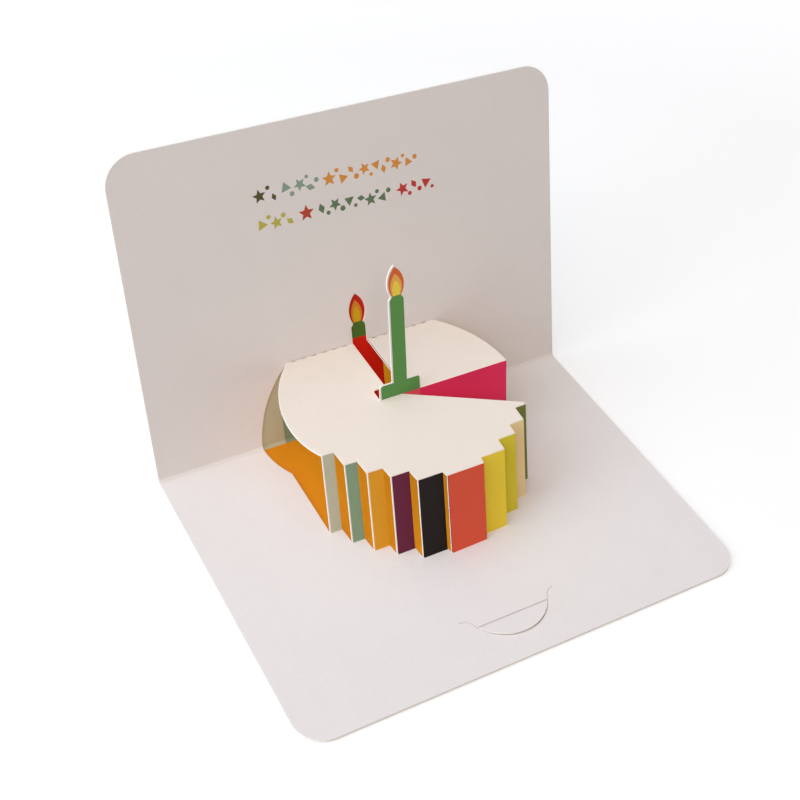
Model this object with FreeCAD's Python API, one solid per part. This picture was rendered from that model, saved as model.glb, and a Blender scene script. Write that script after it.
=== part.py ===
import FreeCAD, Part
import math
import os

# Pop-up birthday card, standing open on its base panel.
# It is two folded sheets of board, glued back to back: a pop-up sheet, whose cuts stand up
# as a round cake with one candle, and a plain cover behind it.
# The origin is the middle of the base panel's underside. +X runs along the crease,
# +Y from the front edge to the crease, and +Z up.
# The flat sheet has its own two directions: x along the crease, and s across it, which is
# 0 at the crease, positive on the back panel and negative on the base panel.

# Panels
card_width = 150.0
base_length = 108.4
back_length = 106.6
corner_radius = 9.5
back_angle = 74.0
sheet_thickness = 0.45
cover_thickness = 0.45

# Cake: a round top, held level by its fold on the back panel and by the wall strips
cake_radius = 39.0
cake_height = 28.0
wedge_angle = 30.0
strip_gap = 0.4

# Cuts between the wall strips and the reach of each strip's folds in front of the cake's
# centre, left to right, as shares of the cake radius
strip_cuts = [-0.906, -0.792, -0.672, -0.526, -0.356, -0.126, 0.210, 0.436, 0.608, 0.754, 0.867]
strip_reaches = [0.364, 0.526, 0.672, 0.783, 0.901, 0.953, 0.892, 0.777, 0.672, 0.523]

# Candle, cut from the cake top and the back panel and hinged at its foot
candle_angle = 77.5
candle_centre = -0.6
candle_length = 45.4
foot_width = 14.3
foot_height = 5.1
foot_radius = 1.0
stem_width = 5.3
neck_width = 3.8
flame_width = 5.9
flame_length = 10.3
flame_belly = 0.38
flame_lean = -0.4
neck_height = 0.3
shoulder_height = 1.1

# Thumb tab, a curved slit near the front edge with an ear at each end
tab_radius = 14.0
tab_ear_radius = 4.0
tab_rise = 3.1
tab_margin = 7.9
tab_slit = 0.25

# How far a cutting shape stands past the board that it cuts
cut_reach = 1.0

# Worked out from the sizes above
crease_y = base_length / 2
crease_z = sheet_thickness + cover_thickness
back_turn = math.tan(math.radians(back_angle / 2))
candle_turn = math.tan(math.radians(candle_angle / 2))
top_half_fold = math.sqrt(cake_radius ** 2 - cake_height ** 2)
top_y = crease_y + cake_height * math.cos(math.radians(back_angle)) - cake_height
top_z = crease_z + cake_height * math.sin(math.radians(back_angle))
wedge_turn = math.radians(wedge_angle)
wedge_rim = (cake_radius * math.cos(wedge_turn), -cake_radius * math.sin(wedge_turn))
flap_tip = (cake_radius, -cake_radius * math.tan(wedge_turn))
foot_left = candle_centre - foot_width / 2
foot_right = candle_centre + foot_width / 2


def flat(x, s):
    return FreeCAD.Vector(x, s, 0)


def line(a, b):
    return Part.LineSegment(flat(*a), flat(*b)).toShape()


def arc(a, middle, b):
    return Part.Arc(flat(*a), flat(*middle), flat(*b)).toShape()


def round_point(centre, radius, degrees):
    turn = math.radians(degrees)
    return (centre[0] + radius * math.cos(turn), centre[1] + radius * math.sin(turn))


def round_arc(centre, radius, start, end):
    points = [round_point(centre, radius, angle) for angle in (start, (start + end) / 2, end)]
    return arc(*points)


def chain(points):
    return [line(a, b) for a, b in zip(points, points[1:])]


def slab(edges, upper=0, lower=-sheet_thickness):
    # A flat outline made into board, from the level of its upper face to its lower one
    face = Part.Face(Part.Wire(Part.__sortEdges__(edges)))
    face.translate(FreeCAD.Vector(0, 0, lower))
    return face.extrude(FreeCAD.Vector(0, 0, upper - lower))


def cutter(edges):
    return slab(edges, cut_reach, -cut_reach)


def mitre(x_from, x_to, fold_s, lean, upper=0, lower=-sheet_thickness):
    # The sliver of board between a square edge at a fold and the fold's mitre plane
    corners = [(fold_s, upper), (fold_s, lower), (fold_s + lean * abs(lower), lower)]
    if upper < 0:
        corners.append((fold_s + lean * abs(upper), upper))
    points = [FreeCAD.Vector(x_from, s, level) for s, level in corners]
    face = Part.Face(Part.makePolygon(points + points[:1]))
    return face.extrude(FreeCAD.Vector(x_to - x_from, 0, 0))


def place(shape, angle, y, z):
    # Turns a flat piece up about its line s = 0 and carries that line to y, z
    placed = shape.copy()
    placed.rotate(FreeCAD.Vector(0, 0, 0), FreeCAD.Vector(1, 0, 0), angle)
    placed.translate(FreeCAD.Vector(0, y, z))
    return placed


def panel(side, upper=0, lower=-sheet_thickness):
    # One half of a folded sheet, square at the crease and round at its free corners
    half = card_width / 2
    inner = half - corner_radius
    length = back_length if side > 0 else base_length
    straight = length - corner_radius
    edges = chain([(half, side * straight), (half, 0), (-half, 0), (-half, side * straight)])
    edges.append(round_arc((-inner, side * straight), corner_radius, side * 180, side * 90))
    edges.append(line((-inner, side * length), (inner, side * length)))
    edges.append(round_arc((inner, side * straight), corner_radius, side * 90, 0))
    return slab(edges, upper, lower)


def strip_corners():
    # Front corners of the cake top, left to right: two for each strip, at its fold
    corners = []
    for left, right, reach in zip(strip_cuts, strip_cuts[1:], strip_reaches):
        s = -reach * cake_radius
        corners.append((left * cake_radius + strip_gap / 2, s))
        corners.append((right * cake_radius - strip_gap / 2, s))
    return corners


def left_arc(corner):
    # From the cake's left side to its first strip, tangent to the round outline
    inset = cake_radius + corner[0]
    radius = (inset ** 2 + corner[1] ** 2) / (2 * inset)
    centre = (radius - cake_radius, 0)
    end = math.degrees(math.atan2(corner[1], corner[0] - centre[0]))
    return round_arc(centre, radius, 180, end % 360)


def rear_arc(side):
    start = math.degrees(math.asin(cake_height / cake_radius))
    if side > 0:
        return round_arc((0, 0), cake_radius, start, 0)
    return round_arc((0, 0), cake_radius, 180 - start, 180)


def candle_edges():
    # The candle's outline above its hinge line, with the flap of the cut wedge below it
    neck_s = candle_length - flame_length
    shoulder_s = neck_s - neck_height - shoulder_height
    belly_s = neck_s + flame_belly * flame_length
    tip = (candle_centre + flame_lean, candle_length)
    edges = []
    for side in (-1, 1):
        foot_x = candle_centre + side * foot_width / 2
        stem_x = candle_centre + side * stem_width / 2
        neck_x = candle_centre + side * neck_width / 2
        belly_x = candle_centre + side * flame_width / 2
        foot_centre = (foot_x - side * foot_radius, foot_height - foot_radius)
        outer = (foot_x, foot_centre[1])
        upper = (foot_centre[0], foot_height)
        turn = 45 if side > 0 else 135
        edges.append(line((foot_x, 0), outer))
        edges.append(arc(outer, round_point(foot_centre, foot_radius, turn), upper))
        edges += chain([upper, (stem_x, foot_height), (stem_x, shoulder_s),
                        (neck_x, neck_s - neck_height), (neck_x, neck_s)])
        edges.append(arc((neck_x, neck_s), (belly_x, belly_s), tip))
    return edges


def flap_edges():
    return chain([(foot_left, 0), (0, 0), flap_tip, (cake_radius, 0), (foot_right, 0)])


def tab_slit_shape():
    # The main arc bulges to the front, and each ear turns back along the crease direction
    centre = (0, tab_radius + tab_margin - base_length)
    ear_drop = tab_rise + tab_ear_radius
    ear_x = math.sqrt((tab_radius + tab_ear_radius) ** 2 - ear_drop ** 2)
    meet = math.degrees(math.atan2(-ear_drop, ear_x))
    half_slit = tab_slit / 2
    edges = []
    for offset in (-half_slit, half_slit):
        edges.append(round_arc(centre, tab_radius + offset, meet, -180 - meet))
        right = (centre[0] + ear_x, centre[1] - ear_drop)
        left = (centre[0] - ear_x, centre[1] - ear_drop)
        edges.append(round_arc(right, tab_ear_radius - offset, 180 + meet, 90))
        edges.append(round_arc(left, tab_ear_radius - offset, -meet, 90))
    for side in (-1, 1):
        top = centre[1] - ear_drop + tab_ear_radius
        edges.append(line((side * ear_x, top - half_slit), (side * ear_x, top + half_slit)))
    return cutter(edges)


def base_panel(corners):
    board = panel(-1)
    # The hole that the cake leaves, from the crease to the feet of the strips
    feet = [(x, s - cake_height) for x, s in corners]
    hole = [left_arc(corners[0]), line(corners[0], feet[0])]
    hole += chain(feet + [(feet[-1][0], corners[-1][1]), wedge_rim, flap_tip])
    hole += chain([flap_tip, (cake_radius, cut_reach), (-cake_radius, cut_reach), (-cake_radius, 0)])
    board = board.cut(cutter(hole))
    board = board.cut(tab_slit_shape())
    slivers = []
    for left, right in zip(feet[::2], feet[1::2]):
        slivers.append(mitre(left[0], right[0], left[1], back_turn))
    for side in (-1, 1):
        ends = sorted((side * cake_radius, side * card_width / 2))
        slivers.append(mitre(ends[0], ends[1], 0, back_turn))
    return place(board.fuse(slivers), 0, crease_y, crease_z)


def back_panel(candle):
    board = panel(1)
    fold = [(-top_half_fold, cake_height), (top_half_fold, cake_height)]
    window = [rear_arc(1), rear_arc(-1), line(*fold)]
    window += chain([(-cake_radius, 0), (-cake_radius, -cut_reach), (cake_radius, -cut_reach),
                     (cake_radius, 0)])
    board = board.cut(cutter(window))
    slivers = [mitre(fold[0][0], fold[1][0], cake_height, -back_turn)]
    for side in (-1, 1):
        ends = sorted((side * cake_radius, side * card_width / 2))
        slivers.append(mitre(ends[0], ends[1], 0, -back_turn))
    return place(board.fuse(slivers).cut(candle), back_angle, crease_y, crease_z)


def cake_top(corners, candle):
    edges = [rear_arc(1), rear_arc(-1), left_arc(corners[0])]
    edges.append(line((-top_half_fold, cake_height), (top_half_fold, cake_height)))
    edges += chain(corners + [wedge_rim, (0, 0), (cake_radius, 0)])
    board = slab(edges)
    board = board.fuse(mitre(-top_half_fold, top_half_fold, cake_height, back_turn))
    board = board.cut(candle)
    cuts = [mitre(foot_right, cake_radius, 0, candle_turn)]
    for left, right in zip(corners[::2], corners[1::2]):
        cuts.append(mitre(left[0], right[0], left[1], back_turn))
    board = board.cut(cuts)
    board = board.fuse(mitre(foot_left, 0, 0, candle_turn))
    return place(board, 0, top_y, top_z)


def wall_strips(corners):
    walls = []
    for left, right in zip(corners[::2], corners[1::2]):
        ends = (left[0], right[0])
        outline = [(ends[0], 0), (ends[1], 0), (ends[1], cake_height), (ends[0], cake_height)]
        wall = slab(chain(outline + outline[:1]))
        wall = wall.fuse(mitre(*ends, 0, -back_turn))
        wall = wall.cut(mitre(*ends, cake_height, -back_turn))
        foot_y = crease_y + left[1] - cake_height
        walls.append(place(wall, back_angle, foot_y, crease_z))
    return walls


def candle_and_flap():
    board = slab(candle_edges() + flap_edges())
    board = board.fuse(mitre(foot_left, 0, 0, -candle_turn))
    board = board.cut(mitre(foot_right, cake_radius, 0, -candle_turn))
    return place(board, candle_angle, top_y, top_z)


def popup_sheet():
    corners = strip_corners()
    candle = cutter(candle_edges() + [line((foot_left, 0), (foot_right, 0))])
    pieces = [back_panel(candle), cake_top(corners, candle), candle_and_flap()]
    pieces += wall_strips(corners)
    return base_panel(corners).fuse(pieces).removeSplitter()


def outer_cover():
    upper = -sheet_thickness
    lower = upper - cover_thickness
    halves = []
    for side, angle in ((-1, 0), (1, back_angle)):
        board = panel(side, upper, lower)
        fold = mitre(-card_width / 2, card_width / 2, 0, -side * back_turn, upper, lower)
        halves.append(place(board.fuse(fold), angle, crease_y, crease_z))
    return halves[0].fuse(halves[1]).removeSplitter()


os.makedirs("parts", exist_ok=True)
for name, build in (("popup_sheet", popup_sheet), ("outer_cover", outer_cover)):
    shape = build()
    if shape.ShapeType == "Compound" and len(shape.Solids) == 1:
        shape = shape.Solids[0]
    print(name, len(shape.Solids), "solid, valid", shape.isValid(), "volume", round(shape.Volume, 1))
    shape.exportStep("parts/" + name + ".step")
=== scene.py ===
import bpy
import math
from mathutils import Euler, Matrix, Vector


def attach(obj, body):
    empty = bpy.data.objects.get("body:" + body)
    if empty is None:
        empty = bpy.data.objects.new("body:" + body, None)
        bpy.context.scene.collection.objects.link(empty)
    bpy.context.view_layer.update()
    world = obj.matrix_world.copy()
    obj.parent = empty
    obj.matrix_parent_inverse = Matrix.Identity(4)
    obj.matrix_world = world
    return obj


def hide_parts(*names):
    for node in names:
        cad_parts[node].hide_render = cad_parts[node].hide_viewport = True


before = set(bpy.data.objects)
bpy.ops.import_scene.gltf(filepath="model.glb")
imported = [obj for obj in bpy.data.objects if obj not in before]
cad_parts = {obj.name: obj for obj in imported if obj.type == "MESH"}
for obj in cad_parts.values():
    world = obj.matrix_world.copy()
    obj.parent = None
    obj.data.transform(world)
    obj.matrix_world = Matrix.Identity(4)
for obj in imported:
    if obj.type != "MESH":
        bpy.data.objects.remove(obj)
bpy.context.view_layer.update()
mm = 0.001

# Pop-up card. Everything printed is drawn flat first, in millimetres: x runs along the
# crease and s across it, 0 at the crease, up the back panel and negative on the base panel.
# Each field of ink is a filled curve, made a mesh, folded up to its plane and joined.

card = {
    "width": 150,
    "baseLength": 108.4,
    "backLength": 106.6,
    "cornerRadius": 9.5,
    "backAngle": 74,
    "board": 0.45,
    "creaseBand": 1.2,      # width of the scored band in the crease
    "foldRadius": 0.45,     # outer radius of the strips' folds
}

cake = {
    "radius": 39,
    "height": 28,
    "wedgeAngle": 30,
    "gap": 0.4,
    "cuts": [-0.906, -0.792, -0.672, -0.526, -0.356, -0.126, 0.210, 0.436, 0.608, 0.754, 0.867],
    "reaches": [0.364, 0.526, 0.672, 0.783, 0.901, 0.953, 0.892, 0.777, 0.672, 0.523],
    "stitch": 1.9,          # length of each slit in the perforated fold behind the cake
    "stitchPitch": 3.7,
    "stitchWidth": 0.28,
    "stitchStarts": (-24.6, 4.9),    # first slit on the left of the candle and on its right
    "stitchCount": 6,
    # bare or overprinted left edge of each strip, left to right
    "leftBand": [0.3, 0.3, 0.3, 0.3, 0.15, 0.2, 0, 0, 0, 0],
}

candle = {
    "angle": 77.5,
    "centre": -0.6,
    "length": 45.4,
    "halfFoot": 7.15,
    "footHeight": 5.1,
    "footRadius": 1.0,
    "halfStem": 2.65,
    "halfNeck": 1.9,
    "halfFlame": 2.95,
    "flameLength": 10.3,
    "flameBelly": 0.38,
    "flameLean": -0.4,
    "neckHeight": 0.3,
    "shoulderHeight": 1.1,
    "margin": 0.27,         # bare board round the print
    "tipMargins": 2.2,      # the print stops this many margins short of the flame's tip
    "shift": 0.24,          # how far the print sits to the right of the cut
    "overprint": 0.18,      # green left on the cake top along the right of the cut
    "middleFlame": (1.25, 1.95, 7.4),    # half base, half belly, height
    "innerFlame": (0.95, 1.35, 5.2),
}

creaseY = card["baseLength"] / 2
creaseZ = 2 * card["board"]
backRad = math.radians(card["backAngle"])
topY = creaseY + cake["height"] * math.cos(backRad) - cake["height"]
topZ = creaseZ + cake["height"] * math.sin(backRad)

# each plane is the turn, y and z of its line s = 0
planes = {
    "base": (0, creaseY, creaseZ),
    "back": (card["backAngle"], creaseY, creaseZ),
    "top": (0, topY, topZ),
    "candle": (candle["angle"], topY, topZ),
}


def toLinear(code):
    # sRGB hex to linear RGBA
    channels = [int(code[i:i + 2], 16) / 255 for i in (0, 2, 4)]
    linear = [c / 12.92 if c <= 0.04045 else ((c + 0.055) / 1.055) ** 2.4 for c in channels]
    return (*linear, 1)


def addNode(tree, kind, inputs=None, **settings):
    node = tree.nodes.new(kind)
    for key, value in settings.items():
        setattr(node, key, value)
    for key, value in (inputs or {}).items():
        if isinstance(value, bpy.types.NodeSocket):
            tree.links.new(value, node.inputs[key])
        else:
            node.inputs[key].default_value = value
    return node


# Matt coated board, offset printed. To the eye it is soft and even with no shine; close up
# there are short fibres just under the coating, and a fine grain where it is inked.
boardLook = {
    "ior": 1.5,
    "specular": 0.2,        # the matt coating holds the gloss down
    "cloud": 90,            # cells to a metre, so the tone drifts over about 11 mm
    "cloudShare": 0.5,
    "grain": 1600,          # cells of 0.6 mm, coarser than real grain so that it shows
    "fibre": 900,           # cells of about 1 mm, a fibre's length
    "fibreDepth": 0.1,      # millimetres, before the bump's strength
    "fibreBend": 0.8,
    "roughnessSpread": 0.06,
    "toneRange": (0.45, 1.05),
    # darkest and palest tone of plain board, and what full ink adds to each
    "shades": ((0.975, -0.12), (1.02, 0.04)),
}


def makeBoard(name, code, ink=0.0, roughness=0.62, fibre=0.05, paintedLightFade=None):
    # the optional second colour is painted light: a lighter colour, and the places in x, in
    # millimetres, between which the first runs into it
    mat = bpy.data.materials.new(name)
    mat.use_nodes = True
    tree = mat.node_tree
    shader = tree.nodes["Principled BSDF"]
    shader.inputs["IOR"].default_value = boardLook["ior"]
    shader.inputs["Specular IOR Level"].default_value = boardLook["specular"]
    place = addNode(tree, "ShaderNodeTexCoord")
    point = place.outputs["Object"]
    cloud = addNode(tree, "ShaderNodeTexNoise", {"Vector": point, "Scale": boardLook["cloud"],
                                                 "Detail": 3})
    grain = addNode(tree, "ShaderNodeTexNoise", {"Vector": point, "Scale": boardLook["grain"],
                                                 "Detail": 2})
    fibres = addNode(tree, "ShaderNodeTexNoise", {"Vector": point, "Scale": boardLook["fibre"],
                                                  "Detail": 4, "Distortion": boardLook["fibreBend"]})
    base = toLinear(code)
    lowest, highest = [plain + ink * more for plain, more in boardLook["shades"]]
    deep = tuple(c * lowest for c in base[:3]) + (1,)
    pale = tuple(min(1, c * highest) for c in base[:3]) + (1,)
    soft = addNode(tree, "ShaderNodeMath", {0: cloud.outputs["Fac"], 1: boardLook["cloudShare"]},
                   operation="MULTIPLY")
    both = addNode(tree, "ShaderNodeMath", {0: soft.outputs[0], 1: grain.outputs["Fac"]},
                   operation="ADD")
    low, high = boardLook["toneRange"]
    tone = addNode(tree, "ShaderNodeMapRange", {"Value": both.outputs[0], "From Min": low,
                                                "From Max": high})
    paint = addNode(tree, "ShaderNodeMix", {0: tone.outputs[0], 6: deep, 7: pale}, data_type="RGBA")
    # painted light: the second colour lightens the first along x
    if paintedLightFade:
        farCode, start, end = paintedLightFade
        along = addNode(tree, "ShaderNodeSeparateXYZ", {"Vector": point})
        share = addNode(tree, "ShaderNodeMapRange", {"Value": along.outputs["X"],
                                                     "From Min": start * mm, "From Max": end * mm})
        paint = addNode(tree, "ShaderNodeMix", {0: share.outputs[0], 6: paint.outputs[2],
                                                7: toLinear(farCode)}, data_type="RGBA")
    tree.links.new(paint.outputs[2], shader.inputs["Base Color"])
    spread = boardLook["roughnessSpread"]
    rough = addNode(tree, "ShaderNodeMapRange", {"Value": fibres.outputs["Fac"],
                                                 "To Min": roughness - spread,
                                                 "To Max": roughness + spread})
    tree.links.new(rough.outputs[0], shader.inputs["Roughness"])
    bump = addNode(tree, "ShaderNodeBump", {"Height": fibres.outputs["Fac"], "Strength": fibre,
                                            "Distance": boardLook["fibreDepth"] * mm})
    tree.links.new(bump.outputs[0], shader.inputs["Normal"])
    return mat


inks = {
    # bare of colour: the cool white coating, the cake top's warmer one, chalky cut edges and
    # backs, and the smoother line of a score, whose grey is painted shade for its groove
    "white": makeBoard("mattCoatedBoard", "EFEAE8"),
    "cream": makeBoard("creamInk", "F4E9DD"),
    "bare": makeBoard("uncoatedBoard", "FAF6F0", roughness=0.85, fibre=0.12),
    "smoothScoreShade": makeBoard("smoothScoreShadeBoard", "CBC4C2", roughness=0.5),
}
printed = {
    # inner face of the cover: strong flat colour, mostly seen in the shade of the cuts
    "coverOrange": ("orangeWithPaintedLight", "E39014"),
    "coverTaupe": ("taupeInk", "C6C4A6"),
    "coverSage": ("sageInk", "8B9F80"),
    "coverRed": ("redInk", "DF1C05"),
    "coverOchre": ("ochreInk", "FFCA2A"),
    "coverGreen": ("leafGreenInk", "4D7029"),
    "coverFlameRed": ("deepFlameInk", "C31F05"),
    "coverFlameOrange": ("burntOrangeInk", "DC8625"),
    "coverFlameYellow": ("dullYellowInk", "DDAD10"),
    # candle and flame: bright and even
    "candleGreen": ("candleGreenInk", "5F9851"),
    "flameRed": ("flameRedInk", "E26C38"),
    "flameOrange": ("flameOrangeInk", "F3B55B"),
    "flameYellow": ("flameYellowInk", "F8DE50"),
    # flap of the wedge: crimson, and a lighter salmon patch beside the candle
    "crimson": ("crimsonInk", "F13166"),
    "salmon": ("salmonInk", "F2566E"),
    # wall strips, left to right: even colour right up to the cut edges
    "strip1": ("greySageInk", "C5C7B0"),
    "strip2": ("tealInk", "8CA98B"),
    "strip3": ("amberInk", "EAA52B"),
    "strip4": ("plumInk", "692541"),
    "strip5": ("blackInk", "120906"),
    "strip6": ("coralInk", "E3583E"),
    "strip6Edge": ("darkPlumInk", "5A1622"),
    "strip7": ("yellowInk", "F7DA40"),
    "strip8": ("limeInk", "E3D337"),
    "strip9": ("sandInk", "F7DEA7"),
    "strip10": ("mossInk", "747F3A"),
    # small marks: a little paler, as thin print on white looks
    "markOlive": ("darkOliveInk", "56552E"),
    "markSage": ("greyGreenInk", "8FA898"),
    "markOrange": ("softOrangeInk", "E29A48"),
    "markLime": ("oliveYellowInk", "C4BC54"),
    "markRust": ("rustInk", "C04A34"),
    "markGreen": ("mutedGreenInk", "688060"),
    "markRed": ("warmRedInk", "C8403A"),
}
# painted light: the cover's orange runs into a lighter one on the right, standing for the light that
# reaches it between the strips
paintedLightFades = {"coverOrange": ("FFBA22", -34, -3)}
for key, (name, code) in printed.items():
    inks[key] = makeBoard(name, code, ink=0.3, paintedLightFade=paintedLightFades.get(key))
print("materials made:", len(inks))


def arcPoints(centre, radius, start, end, step=4):
    # angles in degrees, with a point at least every step
    count = max(2, math.ceil(abs(end - start) / step))
    turns = [math.radians(start + (end - start) * i / count) for i in range(count + 1)]
    return [(centre[0] + radius * math.cos(turn), centre[1] + radius * math.sin(turn))
            for turn in turns]


def arcThrough(a, middle, b, step=4):
    # the arc from a to b that passes the middle point
    ax, ay, bx, by, cx, cy = *a, *middle, *b
    d = 2 * (ax * (by - cy) + bx * (cy - ay) + cx * (ay - by))
    a2, b2, c2 = ax ** 2 + ay ** 2, bx ** 2 + by ** 2, cx ** 2 + cy ** 2
    ux = (a2 * (by - cy) + b2 * (cy - ay) + c2 * (ay - by)) / d
    uy = (a2 * (cx - bx) + b2 * (ax - cx) + c2 * (bx - ax)) / d
    start = math.degrees(math.atan2(ay - uy, ax - ux))
    end = math.degrees(math.atan2(cy - uy, cx - ux))
    end = start + (end - start + 180) % 360 - 180
    return arcPoints((ux, uy), math.hypot(ax - ux, ay - uy), start, end, step)


def stripCorners():
    # front corners of the cake top, two for each strip
    corners = []
    for left, right, reach in zip(cake["cuts"], cake["cuts"][1:], cake["reaches"]):
        s = -reach * cake["radius"]
        corners.append((left * cake["radius"] + cake["gap"] / 2, s))
        corners.append((right * cake["radius"] - cake["gap"] / 2, s))
    return corners


corners = stripCorners()


def foldLine(drop):
    # the strips' folds with the points where each strip's left band ends
    points = []
    for number, (left, right) in enumerate(zip(corners[::2], corners[1::2])):
        points.append((left[0], left[1] - drop))
        if cake["leftBand"][number]:
            points.append((left[0] + cake["leftBand"][number], left[1] - drop))
        points.append((right[0], right[1] - drop))
    return points


topFolds = foldLine(0)
feet = foldLine(cake["height"])
topHalf = math.sqrt(cake["radius"] ** 2 - cake["height"] ** 2)
wedge = math.radians(cake["wedgeAngle"])
wedgeRim = (cake["radius"] * math.cos(wedge), -cake["radius"] * math.sin(wedge))
flapTip = (cake["radius"], -cake["radius"] * math.tan(wedge))
rearTurn = math.degrees(math.asin(cake["height"] / cake["radius"]))
rearLeft = arcPoints((0, 0), cake["radius"], 180, 180 - rearTurn)
rearRight = arcPoints((0, 0), cake["radius"], rearTurn, 0)


def leftArc():
    # from the cake's left side to its first strip, tangent to the round outline
    inset = cake["radius"] + corners[0][0]
    radius = (inset ** 2 + corners[0][1] ** 2) / (2 * inset)
    end = math.degrees(math.atan2(corners[0][1], corners[0][0] - radius + cake["radius"])) % 360
    return arcPoints((radius - cake["radius"], 0), radius, 180, end)


def candleSide(side, inset=0, shift=0):
    # foot, stem and neck from the hinge line up to the flame's base
    centre = candle["centre"] + shift
    footX = centre + side * (candle["halfFoot"] - inset)
    stemX = centre + side * (candle["halfStem"] - inset)
    neckX = centre + side * (candle["halfNeck"] - inset)
    footTop = candle["footHeight"] - inset
    radius = candle["footRadius"] - inset / 2
    neckS = candle["length"] - candle["flameLength"]
    shoulderS = neckS - candle["neckHeight"] - candle["shoulderHeight"]
    turns = (0, 90) if side > 0 else (180, 90)
    points = [(footX, 0)]
    points += arcPoints((footX - side * radius, footTop - radius), radius, *turns, step=15)
    points += [(stemX, footTop), (stemX, shoulderS)]
    points += [(neckX, neckS - candle["neckHeight"]), (neckX, neckS)]
    return points


def flameSide(side, halfBase, halfBelly, height, shift=0):
    # one side of a flame, from its base on the neck up to its tip
    centre = candle["centre"] + shift
    neckS = candle["length"] - candle["flameLength"]
    base = (centre + side * halfBase, neckS)
    belly = (centre + side * halfBelly, neckS + candle["flameBelly"] * height)
    tip = (centre + candle["flameLean"] * height / candle["flameLength"], neckS + height)
    return arcThrough(base, belly, tip)


def wholeFlame(flame, first=-1):
    # right round a flame, from one side of its base to the other
    return flameSide(first, *flame) + flameSide(-first, *flame)[:-1][::-1]


def neckPoints(*flames):
    # where the flames' sides meet the neck, left to right
    return sorted(flameSide(side, *flame)[0] for side in (-1, 1) for flame in flames)


def stitchedFold(xs, side):
    # the perforated fold: slits alternate with bridges, and side says which sheet steps back
    fold = cake["height"]
    step = fold + side * cake["stitchWidth"]
    half = cake["stitch"] / 2
    points = []
    for x in xs:
        points += [(x - half, fold), (x - half, step), (x + half, step), (x + half, fold)]
    return points


def selectOnly(*pieces):
    bpy.ops.object.select_all(action="DESELECT")
    for piece in pieces:
        piece.select_set(True)
    bpy.context.view_layer.objects.active = pieces[0]


def drawField(name, ink, plane, outline, holes=(), level=0):
    # one field of ink, drawn flat and folded up to its plane, level millimetres off it
    curve = bpy.data.curves.new(name, "CURVE")
    curve.dimensions = "2D"
    curve.fill_mode = "BOTH"
    for ring in [outline] + list(holes):
        spline = curve.splines.new("POLY")
        spline.points.add(len(ring) - 1)
        for point, (x, s) in zip(spline.points, ring):
            point.co = (x, s, 0, 1)
        spline.use_cyclic_u = True
    field = bpy.data.objects.new(name, curve)
    bpy.context.collection.objects.link(field)
    selectOnly(field)
    bpy.ops.object.convert(target="MESH")
    if not holes:
        # one clean face, so that the folds can be bevelled across it
        bpy.ops.object.mode_set(mode="EDIT")
        bpy.ops.mesh.select_all(action="SELECT")
        bpy.ops.mesh.dissolve_faces()
        bpy.ops.object.mode_set(mode="OBJECT")
    field.data.materials.clear()
    field.data.materials.append(inks[ink])
    turn, y, z = plane
    turn = math.radians(turn)
    field.rotation_euler.x = turn
    field.location = (0, (y - level * math.sin(turn)) * mm, (z + level * math.cos(turn)) * mm)
    field.scale = (mm, mm, mm)
    bpy.ops.object.transform_apply(location=True, rotation=True, scale=True)
    return field


def roundedFront(length, side):
    # free end of a panel, from its right side to its left
    half = card["width"] / 2
    inner = half - card["cornerRadius"]
    s = side * (length - card["cornerRadius"])
    right = arcPoints((inner, s), card["cornerRadius"], 0, side * 90)
    left = arcPoints((-inner, s), card["cornerRadius"], side * 90, side * 180)
    return right + left


pieces = []

# base panel: a rear part round the cake's hole and a front part round the thumb tab
splitS = -76    # where the rear part meets the front part
half = card["width"] / 2
outline = [(-half, splitS), (half, splitS), (half, 0), (cake["radius"], 0), flapTip, wedgeRim]
outline += [(feet[-1][0], corners[-1][1])] + feet[::-1] + leftArc()[::-1] + [(-half, 0)]
pieces.append(drawField("baseRear", "white", planes["base"], outline))

# thumb tab, between its curved slit and its scored fold
tab = {
    "radius": 14,
    "earRadius": 4,
    "rise": 3.1,
    "margin": 7.9,
    "slit": 0.28,
    "foldS": -93.3,
    "lift": 5.5,            # degrees
    "score": 0.25,          # half width of its scored groove
    "scoreDepth": 0.1,
}


def tabRings():
    # the slit's two sides, from the left ear's end to the right one's
    centre = (0, tab["radius"] + tab["margin"] - card["baseLength"])
    drop = tab["rise"] + tab["earRadius"]
    earX = math.sqrt((tab["radius"] + tab["earRadius"]) ** 2 - drop ** 2)
    meet = math.degrees(math.atan2(-drop, earX))
    sides = []
    for offset in (-tab["slit"] / 2, tab["slit"] / 2):
        left = arcPoints((-earX, centre[1] - drop), tab["earRadius"] - offset, 90, -meet, step=8)
        middle = arcPoints(centre, tab["radius"] + offset, -180 - meet, meet)
        right = arcPoints((earX, centre[1] - drop), tab["earRadius"] - offset, 180 + meet, 90, step=8)
        sides.append(left + middle[1:-1] + right)
    return sides


inner, outer = tabRings()


def crossings(s):
    # where the tab's own side of the slit passes the line s, on the left and on the right
    found = []
    for a, b in zip(inner, inner[1:]):
        if (a[1] - s) * (b[1] - s) < 0:
            found.append((a[0] + (s - a[1]) / (b[1] - a[1]) * (b[0] - a[0]), s))
    return found[0], found[-1]


rearLip, valley, frontLip = [crossings(tab["foldS"] + step * tab["score"]) for step in (1, 0, -1)]
aboveLeft = [p for p in inner if p[0] < 0 and p[1] > rearLip[0][1]]
aboveRight = [p for p in inner if p[0] > 0 and p[1] > rearLip[0][1]]
hole = [rearLip[0]] + aboveLeft[::-1] + outer + aboveRight[::-1] + [rearLip[1]]
outline = [(half, splitS)] + roundedFront(card["baseLength"], -1) + [(-half, splitS)]
pieces.append(drawField("baseFront", "white", planes["base"], outline, [hole]))

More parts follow.
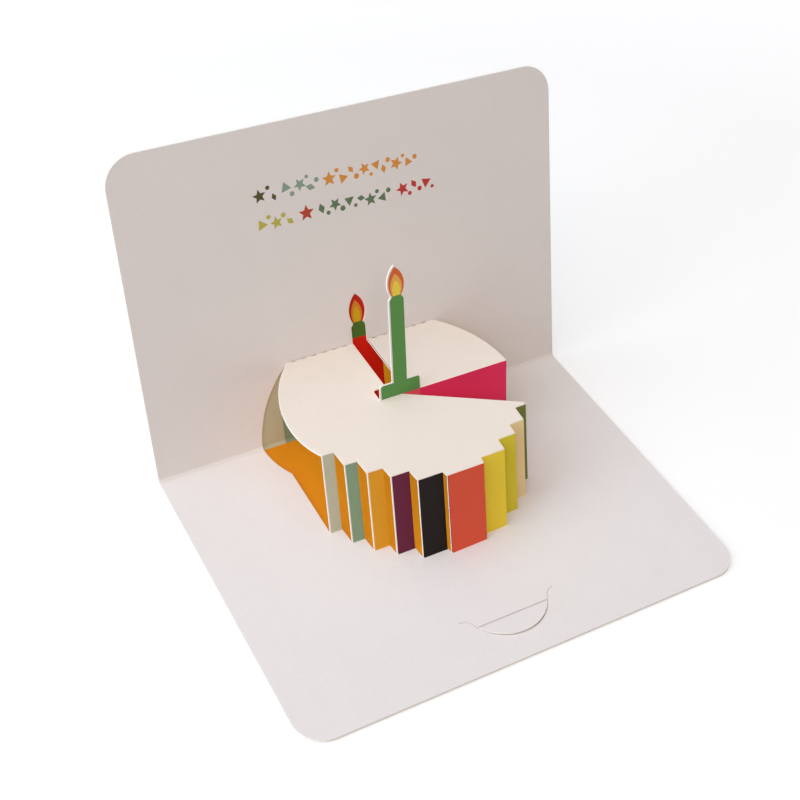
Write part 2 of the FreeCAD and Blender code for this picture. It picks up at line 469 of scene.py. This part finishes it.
# the tab turns about its own scored fold and is lifted by a few degrees
foldY = creaseY + tab["foldS"]
tongue = [frontLip[0]] + [p for p in inner if p[1] < frontLip[0][1]] + [frontLip[1]]
outline = [(x, s - tab["foldS"]) for x, s in tongue]
pieces.append(drawField("thumbTab", "white", (-tab["lift"], foldY, creaseZ), outline))
for side, lip, tilt in ((1, rearLip, 0), (-1, frontLip, math.radians(tab["lift"]))):
    run = tab["score"] * math.cos(tilt)
    rise = tab["scoreDepth"] + tab["score"] * math.sin(tilt)
    slope = side * math.hypot(run, rise)
    groovePlane = (side * math.degrees(math.atan2(rise, run)), foldY, creaseZ - tab["scoreDepth"])
    outline = [(valley[0][0], 0), (lip[0][0], slope), (lip[1][0], slope), (valley[1][0], 0)]
    # the groove's grey is painted shade
    pieces.append(drawField("groove", "smoothScoreShade", groovePlane, outline))

# back panel: a lower part with the cake's window and the candle's slot, and an upper part
stitchesLeft, stitchesRight = [
    [start + cake["stitchPitch"] * i for i in range(cake["stitchCount"])]
    for start in cake["stitchStarts"]
]
fold = cake["height"]
neckS = candle["length"] - candle["flameLength"]
splitBack = 66    # where the lower part meets the upper part
cutFlame = (candle["halfNeck"], candle["halfFlame"], candle["flameLength"])
slotLeft = [p for p in candleSide(-1) if p[1] > fold] + flameSide(-1, *cutFlame)[1:]
slotRight = [p for p in candleSide(1) if p[1] > fold] + flameSide(1, *cutFlame)[1:-1]
stemLeft, stemRight = [candle["centre"] + side * candle["halfStem"] for side in (-1, 1)]
outline = [(half, 0), (half, splitBack), (-half, splitBack), (-half, 0)]
outline += rearLeft + [(rearLeft[-1][0] + cake["leftBand"][0], fold)]
outline += stitchedFold(stitchesLeft, 1) + [(stemLeft, fold)]
outline += slotLeft + slotRight[::-1] + [(stemRight, fold), (stemRight + candle["overprint"], fold)]
outline += stitchedFold(stitchesRight, 1) + rearRight
pieces.append(drawField("backLower", "white", planes["back"], outline))

# party confetti printed on the back panel
confetti = {
    "shapes": {    # how far each corner stands from the middle, in turn, as shares of the size
        "dot": [1] * 16,
        "triangle": [1, 1, 1],
        "diamond": [1, 0.62, 1, 0.62],
        "star": [1, 0.45] * 5,
    },
    "marks": [    # shape, x, s, turn in degrees, size and ink
        ("star", -29.3, 85.2, 8, 2.3, "markOlive"), ("dot", -26.4, 87.3, 0, 0.7, "markOlive"),
        ("diamond", -24.6, 84.0, 20, 1.3, "markOlive"),
        ("triangle", -20.6, 86.0, 15, 2.0, "markSage"), ("dot", -18.6, 83.6, 0, 0.8, "markSage"),
        ("star", -15.8, 85.9, 30, 2.2, "markSage"), ("dot", -13.4, 87.9, 0, 0.6, "markSage"),
        ("diamond", -12.4, 84.3, 70, 1.7, "markSage"), ("dot", -10.2, 86.2, 0, 0.8, "markSage"),
        ("star", -5.9, 85.4, 0, 2.5, "markOrange"), ("dot", -3.2, 87.6, 0, 0.7, "markOrange"),
        ("triangle", -1.3, 84.6, 40, 1.9, "markOrange"), ("diamond", 1.6, 86.8, 35, 1.4, "markOrange"),
        ("dot", 3.4, 84.2, 0, 0.9, "markOrange"), ("star", 6.3, 86.0, 22, 2.1, "markOrange"),
        ("dot", 8.5, 83.7, 0, 0.6, "markOrange"), ("triangle", 10.4, 86.4, 75, 1.8, "markOrange"),
        ("diamond", 12.9, 84.5, 10, 1.5, "markOrange"), ("dot", 14.6, 87.0, 0, 0.8, "markOrange"),
        ("star", 17.4, 85.2, 48, 2.3, "markOrange"), ("dot", 19.9, 87.2, 0, 0.6, "markOrange"),
        ("triangle", 21.6, 84.8, 20, 1.7, "markOrange"), ("dot", 24.1, 86.0, 0, 0.8, "markOrange"),
        ("triangle", -29.6, 76.0, 25, 2.0, "markLime"), ("dot", -27.2, 78.1, 0, 0.7, "markLime"),
        ("star", -24.7, 75.7, 12, 2.2, "markLime"), ("dot", -22.3, 77.6, 0, 0.8, "markLime"),
        ("diamond", -20.2, 75.2, 50, 1.5, "markLime"),
        ("star", -14.6, 76.4, 0, 2.7, "markRust"),
        ("diamond", -9.4, 76.6, 15, 1.8, "markGreen"), ("dot", -7.2, 74.7, 0, 0.7, "markGreen"),
        ("star", -4.7, 76.9, 35, 2.2, "markGreen"), ("dot", -2.2, 75.0, 0, 0.9, "markGreen"),
        ("triangle", 0.2, 77.0, 60, 1.9, "markGreen"), ("dot", 2.3, 74.9, 0, 0.6, "markGreen"),
        ("diamond", 4.3, 76.8, 80, 1.5, "markGreen"), ("star", 7.6, 75.6, 5, 2.3, "markGreen"),
        ("dot", 10.0, 77.7, 0, 0.7, "markGreen"), ("triangle", 11.9, 75.3, 95, 1.8, "markGreen"),
        ("dot", 14.0, 77.2, 0, 0.8, "markGreen"),
        ("star", 19.1, 76.4, 20, 2.4, "markRed"), ("dot", 21.6, 74.4, 0, 0.7, "markRed"),
        ("diamond", 23.2, 77.2, 30, 1.6, "markRed"), ("dot", 25.2, 75.2, 0, 0.8, "markRed"),
        ("triangle", 27.6, 76.8, 50, 2.0, "markRed"), ("dot", 29.8, 74.9, 0, 0.6, "markRed"),
    ],
}


def confettiShape(kind, x, s, turn, size):
    radii = confetti["shapes"][kind]
    turns = [math.radians(90 + turn + 360 * i / len(radii)) for i in range(len(radii))]
    return [(x + size * r * math.cos(a), s + size * r * math.sin(a)) for r, a in zip(radii, turns)]


marks = []
for kind, x, s, turn, size, ink in confetti["marks"]:
    marks.append((ink, confettiShape(kind, x, s, turn, size)))
outline = [(half, splitBack)] + roundedFront(card["backLength"], 1) + [(-half, splitBack)]
pieces.append(drawField("backUpper", "white", planes["back"], outline, [shape for ink, shape in marks]))
for number, (ink, shape) in enumerate(marks):
    pieces.append(drawField("confetti" + str(number), ink, planes["back"], shape))
print("panels drawn")

# cake top: the part in front and to the left of the candle, and the sector behind the flap
margin, shift = candle["margin"], candle["shift"]
cutLeft = candleSide(-1)
cutRight = candleSide(1)
footLeft, footRight = [candle["centre"] + side * candle["halfFoot"] for side in (-1, 1)]
footEnd = 10    # past the foot's corners and short of the cake's rear fold
leftRim = rearLeft[::-1] + leftArc()[1:]
inkRim = [(x + cake["leftBand"][0], s) for x, s in leftRim]
pieces.append(drawField("topRim", "bare", planes["top"], leftRim + inkRim[::-1]))
outline = stitchedFold(stitchesLeft, -1) + [(stemLeft, fold)]
outline += [p for p in cutLeft if p[1] < footEnd][::-1]
outline += [(footLeft + margin + shift, 0), (0, 0), wedgeRim]
# the rim's own end stands for the first two points of the folds
outline += topFolds[2:][::-1] + inkRim[::-1]
pieces.append(drawField("topLeft", "cream", planes["top"], outline))
slotEdge = [p for p in cutRight if p[1] < footEnd] + [(stemRight, fold)]
overprint = candle["overprint"]
printEdge = [p for p in candleSide(1, -overprint) if p[1] < footEnd] + [(stemRight + overprint, fold)]
outline = printEdge + stitchedFold(stitchesRight, -1) + rearRight
pieces.append(drawField("topRight", "cream", planes["top"], outline))
# a hair of the candle's print runs over the cut on its right side
pieces.append(drawField("slotOverprint", "markOlive", planes["top"], slotEdge + printEdge[::-1]))

# wall strips
for number, (left, right) in enumerate(zip(corners[::2], corners[1::2])):
    wallPlane = (card["backAngle"], creaseY + left[1] - cake["height"], creaseZ)
    edgeX = left[0] + cake["leftBand"][number]
    name = "strip" + str(number + 1)
    outline = [(edgeX, 0), (right[0], 0), (right[0], cake["height"]), (edgeX, cake["height"])]
    pieces.append(drawField(name, name, wallPlane, outline))
    if edgeX > left[0]:
        outline = [(left[0], 0), (edgeX, 0), (edgeX, cake["height"]), (left[0], cake["height"])]
        edgeInk = name + "Edge" if name + "Edge" in inks else "bare"
        pieces.append(drawField(name + "Edge", edgeInk, wallPlane, outline))

# candle with its bare margin, green body and three-part flame
outerFlame = (candle["halfNeck"] - margin, candle["halfFlame"] - margin,
              candle["flameLength"] - candle["tipMargins"] * margin, shift)
middleFlame = (*candle["middleFlame"], shift)
innerFlame = (*candle["innerFlame"], shift)
printLeft, printRight = candleSide(-1, margin, shift), candleSide(1, margin, shift)
outline = cutLeft + flameSide(-1, *cutFlame)[1:]
outline += flameSide(1, *cutFlame)[1:-1][::-1] + cutRight[::-1]
outline += printRight + flameSide(1, *outerFlame)[1:]
outline += flameSide(-1, *outerFlame)[1:-1][::-1] + printLeft[::-1]
pieces.append(drawField("candleMargin", "white", planes["candle"], outline))
outline = printLeft + neckPoints(middleFlame, innerFlame) + printRight[::-1] + [(0, 0)]
pieces.append(drawField("candleBody", "candleGreen", planes["candle"], outline))
outline = wholeFlame(outerFlame) + wholeFlame(middleFlame, 1)
pieces.append(drawField("flameRim", "flameRed", planes["candle"], outline))
outline = wholeFlame(middleFlame) + wholeFlame(innerFlame, 1)
pieces.append(drawField("flameMiddle", "flameOrange", planes["candle"], outline))
pieces.append(drawField("flameHeart", "flameYellow", planes["candle"], wholeFlame(innerFlame)))

# flap of the wedge, salmon by the candle's foot and crimson beyond
footEdge = (footRight, -footRight * math.tan(wedge))
outline = [(0, 0), footEdge, (footRight, 0), (footRight - margin + shift, 0)]
pieces.append(drawField("flapApex", "salmon", planes["candle"], outline))
outline = [footEdge, flapTip, (cake["radius"], 0), (footRight + candle["overprint"], 0), (footRight, 0)]
pieces.append(drawField("flap", "crimson", planes["candle"], outline))
print("cake and candle drawn")


def pickEdges(piece, test):
    # leaves selected only the edges whose two ends pass the test, in millimetres
    for part in (piece.data.vertices, piece.data.edges, piece.data.polygons):
        for item in part:
            item.select = False
    for edge in piece.data.edges:
        a, b = [piece.data.vertices[i].co / mm for i in edge.vertices]
        if test(a, b):
            edge.select = True
            for i in edge.vertices:
                piece.data.vertices[i].select = True


def bevelEdges(piece, test, width, segments):
    pickEdges(piece, test)
    count = sum(edge.select for edge in piece.data.edges)
    bpy.ops.object.mode_set(mode="EDIT")
    bpy.ops.mesh.select_mode(type="EDGE")
    bpy.ops.mesh.bevel(offset=width * mm, offset_type="OFFSET", segments=segments, affect="EDGES")
    bpy.ops.object.mode_set(mode="OBJECT")
    print("bevelled", count, "edges of", piece.name)


def joinFields(fields, name):
    selectOnly(*fields)
    bpy.ops.object.join()
    sheet = bpy.context.object
    sheet.name = name
    sheet.data.name = name
    bpy.ops.object.mode_set(mode="EDIT")
    bpy.ops.mesh.select_all(action="SELECT")
    bpy.ops.mesh.remove_doubles(threshold=0.01 * mm)
    bpy.ops.object.mode_set(mode="OBJECT")
    sheet.data.materials.append(inks["bare"])
    return sheet


def thicken(sheet):
    # board behind the printed face
    solid = sheet.modifiers.new("board", "SOLIDIFY")
    solid.thickness = card["board"] * mm
    solid.offset = -1
    solid.use_even_offset = True
    solid.use_quality_normals = True
    # its back and cut edges are bare board, the last slot
    solid.material_offset = len(sheet.data.materials)
    solid.material_offset_rim = len(sheet.data.materials)
    selectOnly(sheet)
    bpy.ops.object.modifier_apply(modifier="board")
    bpy.ops.object.shade_smooth_by_angle(angle=math.radians(10))    # the folds stay crisp


slack = 0.02    # millimetres that a point may be off and still count


def near(value, target, room=slack):
    return abs(value - target) < room


def inkFaces(sheet, ink, test):
    # reprints the faces whose middle, in millimetres, and normal pass the test
    slot = sheet.data.materials.find(inks[ink].name)
    for face in sheet.data.polygons:
        if test(face.center / mm, face.normal):
            face.material_index = slot


halfTurn = backRad / 2
creaseWidth = card["creaseBand"] / 2 / math.cos(halfTurn)
foldWidth = card["foldRadius"] * math.tan(halfTurn)

popUpSheet = joinFields(pieces, "popUpSheet")
bevelEdges(popUpSheet, lambda a, b: near(a.y, creaseY) and near(b.y, creaseY)
           and near(a.z, creaseZ) and near(b.z, creaseZ), creaseWidth, segments=1)
stripFolds = []
for left, right in zip(corners[::2], corners[1::2]):
    stripFolds.append((left[0], right[0], creaseY + left[1] - cake["height"], creaseZ))
    stripFolds.append((left[0], right[0], topY + left[1], topZ))


def onStripFold(a, b):
    for start, end, y, z in stripFolds:
        inside = min(a.x, b.x) > start - slack and max(a.x, b.x) < end + slack
        if inside and near(a.y, y) and near(b.y, y) and near(a.z, z) and near(b.z, z):
            return True
    return False


bevelEdges(popUpSheet, onStripFold, foldWidth, segments=3)
# each strip's print runs on round its foot fold, over the faces that lean
footReach = 0.5
steepest, flattest = 0.3, 0.99
for number, (left, right) in enumerate(zip(corners[::2], corners[1::2])):
    start, end = left[0] + cake["leftBand"][number], right[0]
    inkFaces(popUpSheet, "strip" + str(number + 1), lambda p, n: start < p.x < end
             and creaseZ < p.z < creaseZ + footReach and p.y < creaseY - cake["height"]
             and steepest < n.z < flattest)
thicken(popUpSheet)

# outer cover, whose inner print shows through the cuts
level = -card["board"]
coverPrint = {
    "half": 42,
    "top": 29.5,
    "lowTop": 26.6,         # red and ochre end here, so that the slits behind the cake stay grey
    "sageTop": 19,
    "bottom": -72,
    "splits": [-30.8, -26.9, 7.4],    # between the colours
    "inks": ["coverTaupe", "coverSage", "coverRed", "coverOchre"],
    "slotHalf": 3.9,
    "slotTop": 49,
    "middleFlame": (1.3, 1.95, 7.9, -0.1),    # half base, half belly, height, shift
    "innerFlame": (0.9, 1.3, 5.6, -0.1),
}
pieces = []
wide, tall, low = coverPrint["half"], coverPrint["top"], coverPrint["bottom"]
lowTop, sageTop = coverPrint["lowTop"], coverPrint["sageTop"]
slotHalf, slotTop = coverPrint["slotHalf"], coverPrint["slotTop"]
taupeEnd, sageEnd, redEnd = coverPrint["splits"]
xs = [-wide, taupeEnd, sageEnd, redEnd, wide]
inset = card["board"] * math.tan(halfTurn)    # how far past the pop-up sheet's crease the planes meet
outline = [(half, inset), (wide, inset), (wide, low), (-wide, low), (-wide, inset), (-half, inset)]
outline += roundedFront(card["baseLength"], -1)[::-1]
pieces.append(drawField("coverBase", "white", planes["base"], outline, level=level))
outline = [(x, inset) for x in xs[::-1]] + [(-wide, low), (wide, low)]
pieces.append(drawField("coverFloor", "coverOrange", planes["base"], outline, level=level))
outline = [(half, -inset), (wide, -inset), (wide, lowTop), (redEnd, lowTop), (slotHalf, lowTop)]
outline += [(slotHalf, tall), (slotHalf, slotTop), (-slotHalf, slotTop), (-slotHalf, tall)]
outline += [(-slotHalf, lowTop), (sageEnd, lowTop), (sageEnd, tall), (taupeEnd, tall)]
outline += [(-wide, tall), (-wide, -inset), (-half, -inset)]
outline += roundedFront(card["backLength"], 1)[::-1]
pieces.append(drawField("coverBack", "white", planes["back"], outline, level=level))
outline = [(-wide, -inset), (taupeEnd, -inset), (taupeEnd, sageTop), (sageEnd, sageTop)]
outline += [(sageEnd, lowTop), (sageEnd, tall), (taupeEnd, tall), (-wide, tall)]
pieces.append(drawField("coverTaupe", "coverTaupe", planes["back"], outline, level=level))
outline = [(taupeEnd, -inset), (sageEnd, -inset), (sageEnd, sageTop), (taupeEnd, sageTop)]
pieces.append(drawField("coverSage", "coverSage", planes["back"], outline, level=level))
outline = [(sageEnd, -inset), (redEnd, -inset), (redEnd, lowTop), (slotHalf, lowTop), (slotHalf, tall)]
outline += [(-slotHalf, tall), (-slotHalf, lowTop), (sageEnd, lowTop), (sageEnd, sageTop)]
pieces.append(drawField("coverRed", "coverRed", planes["back"], outline, level=level))
outline = [(redEnd, -inset), (wide, -inset), (wide, lowTop), (redEnd, lowTop)]
pieces.append(drawField("coverOchre", "coverOchre", planes["back"], outline, level=level))
middleFlame, innerFlame = coverPrint["middleFlame"], coverPrint["innerFlame"]
outline = [(-slotHalf, tall), (slotHalf, tall), (slotHalf, neckS)]
outline += neckPoints(middleFlame, innerFlame)[::-1] + [(-slotHalf, neckS)]
pieces.append(drawField("coverStem", "coverGreen", planes["back"], outline, level=level))
outline = [(slotHalf, neckS), (slotHalf, slotTop), (-slotHalf, slotTop), (-slotHalf, neckS)]
outline += wholeFlame(middleFlame)
pieces.append(drawField("coverFlameRim", "coverFlameRed", planes["back"], outline, level=level))
outline = wholeFlame(middleFlame) + wholeFlame(innerFlame, 1)
pieces.append(drawField("coverFlameMiddle", "coverFlameOrange", planes["back"], outline, level=level))
outline = wholeFlame(innerFlame)
pieces.append(drawField("coverFlameHeart", "coverFlameYellow", planes["back"], outline, level=level))

outerCover = joinFields(pieces, "outerCover")
bevelEdges(outerCover, lambda a, b: near(a.z, creaseZ + level) and near(b.z, creaseZ + level)
           and near(a.y, creaseY, room=0.5) and near(b.y, creaseY, room=0.5), creaseWidth, segments=1)
# the crease takes the print of the wall behind the cake
for ink, a, b in zip(coverPrint["inks"], xs, xs[1:]):
    inkFaces(outerCover, ink, lambda p, n: a < p.x < b and near(n.z, math.cos(halfTurn), room=0.1))
thicken(outerCover)

sheets = (
    (popUpSheet, "popup_sheet", "printed_board"),
    (outerCover, "outer_cover", "cover_board"),
)
for piece, node, slot in sheets:
    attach(piece, "root")
    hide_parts(node)
    print(piece.name, len(piece.data.polygons), "faces")

# pale floor and room
stage = {
    "floorSize": 12,
    "floorDrop": 0.0002,    # metres under the card
    "floorColour": "D9D9D9",
    "floorRoughness": 0.9,
    "floorSpecular": 0.1,
    "glow": 0.4,            # near the card, so that its shadow shows on the floor
    "glowRange": (0.3, 1.5),    # metres over which the glow rises to plain white
    "roomLight": 0.13,      # what the white room sends to the card
}
selectOnly(popUpSheet)
bpy.ops.mesh.primitive_plane_add(size=stage["floorSize"], location=(0, 0, -stage["floorDrop"]))
floor = bpy.context.object
floor.name = "floor"
mat = bpy.data.materials.new("paleFloor")    # matt backdrop paper, even and without shine
mat.use_nodes = True
tree = mat.node_tree
shader = tree.nodes["Principled BSDF"]
shader.inputs["Roughness"].default_value = stage["floorRoughness"]
shader.inputs["Base Color"].default_value = toLinear(stage["floorColour"])


def addSeen(tree):
    # 1 where the eye meets it, straight or in a reflection or through glass, and 0 elsewhere
    path = addNode(tree, "ShaderNodeLightPath").outputs
    seen = addNode(tree, "ShaderNodeMath", {0: path["Is Camera Ray"], 1: path["Is Glossy Ray"]},
                   operation="MAXIMUM")
    both = addNode(tree, "ShaderNodeMath", {0: seen.outputs[0], 1: path["Is Transmission Ray"]},
                   operation="MAXIMUM")
    return both.outputs[0]


place = addNode(tree, "ShaderNodeTexCoord")
reach = addNode(tree, "ShaderNodeVectorMath", {0: place.outputs["Object"]}, operation="LENGTH")
nearEnd, farEnd = stage["glowRange"]
glow = addNode(tree, "ShaderNodeMapRange", {"Value": reach.outputs["Value"], "From Min": nearEnd,
                                            "From Max": farEnd, "To Min": stage["glow"], "To Max": 1.0})
lift = addNode(tree, "ShaderNodeMath", {0: addSeen(tree), 1: glow.outputs[0]}, operation="MULTIPLY")
shader.inputs["Emission Color"].default_value = (1, 1, 1, 1)
shader.inputs["Specular IOR Level"].default_value = stage["floorSpecular"]
tree.links.new(lift.outputs[0], shader.inputs["Emission Strength"])
floor.data.materials.append(mat)

world = bpy.data.worlds.new("room")
bpy.context.scene.world = world
world.use_nodes = True
tree = world.node_tree
backdrop = tree.nodes["Background"]
strength = addNode(tree, "ShaderNodeMapRange", {"Value": addSeen(tree), "To Min": stage["roomLight"],
                                                "To Max": 1.0})
tree.links.new(strength.outputs[0], backdrop.inputs["Strength"])
backdrop.inputs["Color"].default_value = (1, 1, 1, 1)

# large soft lamps: place in metres, power in watts and colour
lamps = {
    "windowLeft": ((-2.55, -0.30, 1.56), 33.5, "E8F3FF"),
    "windowLow": ((-2.90, 0.05, 0.50), 33.5, "E8F3FF"),
    "windowHigh": ((-1.80, 0.90, 2.22), 22.5, "E8F3FF"),
    "ceiling": ((0, 1.20, 2.75), 18.5, "E8F3FF"),
    "warmFront": ((-1.05, -1.50, 2.37), 37, "FFEAD8"),
}
lampSize = 2.0
lampTarget = Vector((0, 0.02, 0.03))
for name, (place, power, colour) in lamps.items():
    bpy.ops.object.light_add(type="AREA", location=place)
    lamp = bpy.context.object
    lamp.name = name
    lamp.data.size = lampSize
    lamp.data.energy = power
    lamp.data.color = toLinear(colour)[:3]
    lamp.rotation_euler = (lampTarget - Vector(place)).to_track_quat("-Z", "Y").to_euler()
print("floor, room and lamps ready")

# the photograph's viewing angle: target and distance in millimetres, turns in degrees
camera = {
    "target": (-6.6618, 24.0429, 36.1022),
    "turn": -31.8657,
    "height": 42.9490,
    "roll": 5.1035,
    "distance": 406.352,
    "lens": 59.8212,
    "sensor": 36,
    "clipStart": 0.01,      # metres
}
turn = Euler((math.radians(90 - camera["height"]), 0, math.radians(camera["turn"]))).to_matrix()
turn = turn @ Matrix.Rotation(math.radians(camera["roll"]), 3, "Z")
place = Vector(camera["target"]) * mm + turn @ Vector((0, 0, camera["distance"] * mm))
bpy.ops.object.camera_add(location=place, rotation=turn.to_euler())
viewer = bpy.context.object
viewer.data.lens = camera["lens"]
viewer.data.sensor_width = camera["sensor"]
viewer.data.clip_start = camera["clipStart"]
scene = bpy.context.scene
scene.camera = viewer
scene.view_settings.view_transform = "Standard"
